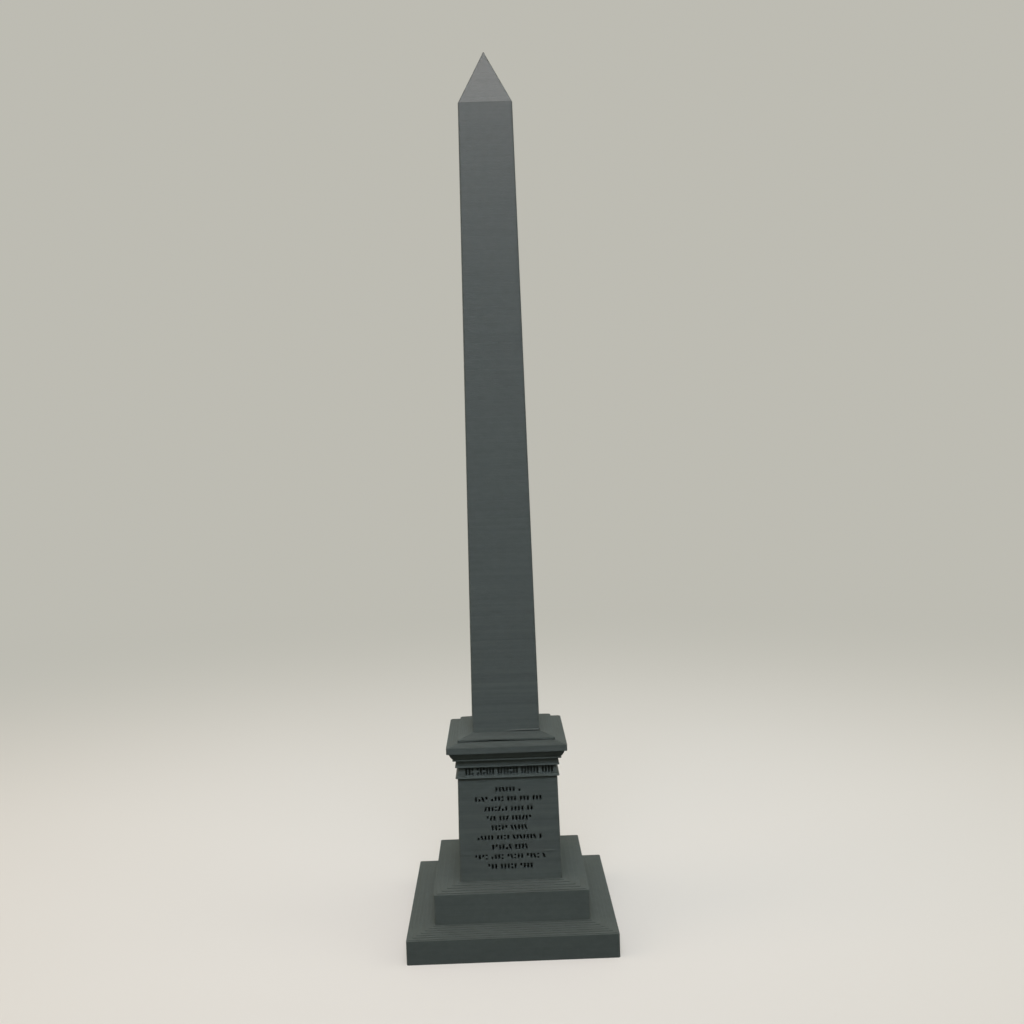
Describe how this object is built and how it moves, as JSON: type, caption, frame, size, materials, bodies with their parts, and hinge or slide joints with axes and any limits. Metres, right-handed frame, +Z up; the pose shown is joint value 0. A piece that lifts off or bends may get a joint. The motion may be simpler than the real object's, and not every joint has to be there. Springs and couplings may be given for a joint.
{
  "type": "obelisk scale model",
  "caption": "Small grey printed model of a memorial obelisk: stepped base, battered die, moulded cap and a tall tapered shaft with a pointed top.",
  "frame": {"origin": "centre of the flat underside of the lower base, on the surface it stands on", "axes": "+Z up along the axis of the obelisk, -Y out of the inscribed front face, +X to the right of someone facing it"},
  "size_m": [0.0732, 0.0732, 0.315],
  "materials": {
    "grey_plastic": "matte, with fine horizontal print layers"
  },
  "bodies": {
    "root": {"lower_base_slab": "grey_plastic", "lower_base_wash": "grey_plastic", "upper_base_slab": "grey_plastic", "upper_base_wash": "grey_plastic", "die": "grey_plastic", "die_lip": "grey_plastic", "frieze": "grey_plastic", "lower_fillet": "grey_plastic", "fascia": "grey_plastic", "upper_fillet": "grey_plastic", "ovolo": "grey_plastic", "cap_slab": "grey_plastic", "cap_wash": "grey_plastic", "shaft_plinth": "grey_plastic", "shaft_plinth_wash": "grey_plastic", "shaft": "grey_plastic", "pyramidion": "grey_plastic"}
  },
  "joints": []
}
